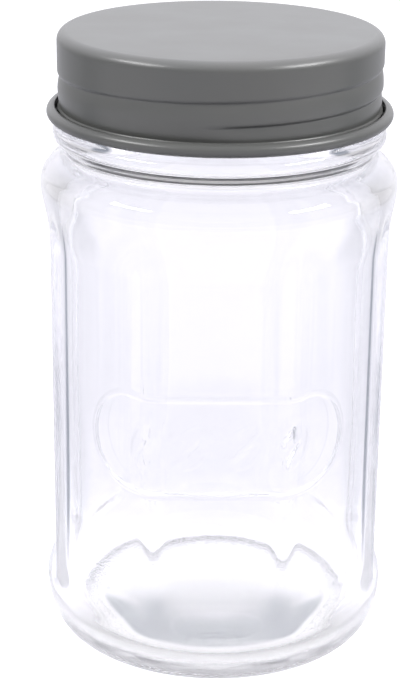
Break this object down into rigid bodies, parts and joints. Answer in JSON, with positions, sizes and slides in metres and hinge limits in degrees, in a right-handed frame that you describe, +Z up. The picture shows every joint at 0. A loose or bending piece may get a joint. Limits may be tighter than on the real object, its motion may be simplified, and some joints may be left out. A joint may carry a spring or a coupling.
{
  "type": "glass storage jar",
  "caption": "Clear panelled glass jar with a round shoulder and heel, closed by a grey painted steel screw lid with a curled edge and a soft liner, for storing dry food.",
  "frame": {"origin": "the middle of the ring that the jar stands on", "axes": "+Z is up along the jar's axis, -Y is the front, +X is right seen from the front"},
  "size_m": [0.1, 0.1, 0.1769],
  "materials": {
    "clear_glass": "fire-polished",
    "grey_paint": "satin",
    "liner_foam": "matte"
  },
  "bodies": {
    "jar": {"glass_jar": "clear_glass"},
    "liner": {"lid_liner": "liner_foam"},
    "lid": {"lid_shell": "grey_paint"}
  },
  "joints": [
    {"name": "lid_rise", "type": "slide", "parent": "jar", "child": "liner", "axis": [0, 0, 1], "range_m": [0, 0.0271]},
    {"name": "lid_turn", "type": "hinge", "parent": "liner", "child": "lid", "pos_m": [0, 0, 0.165], "axis": [0, 0, 1], "range_deg": [0, 1530]}
  ],
  "couplings": [
    {"joint": "lid_rise", "follows": "lid_turn", "m_per_rad": 0.0010106}
  ]
}
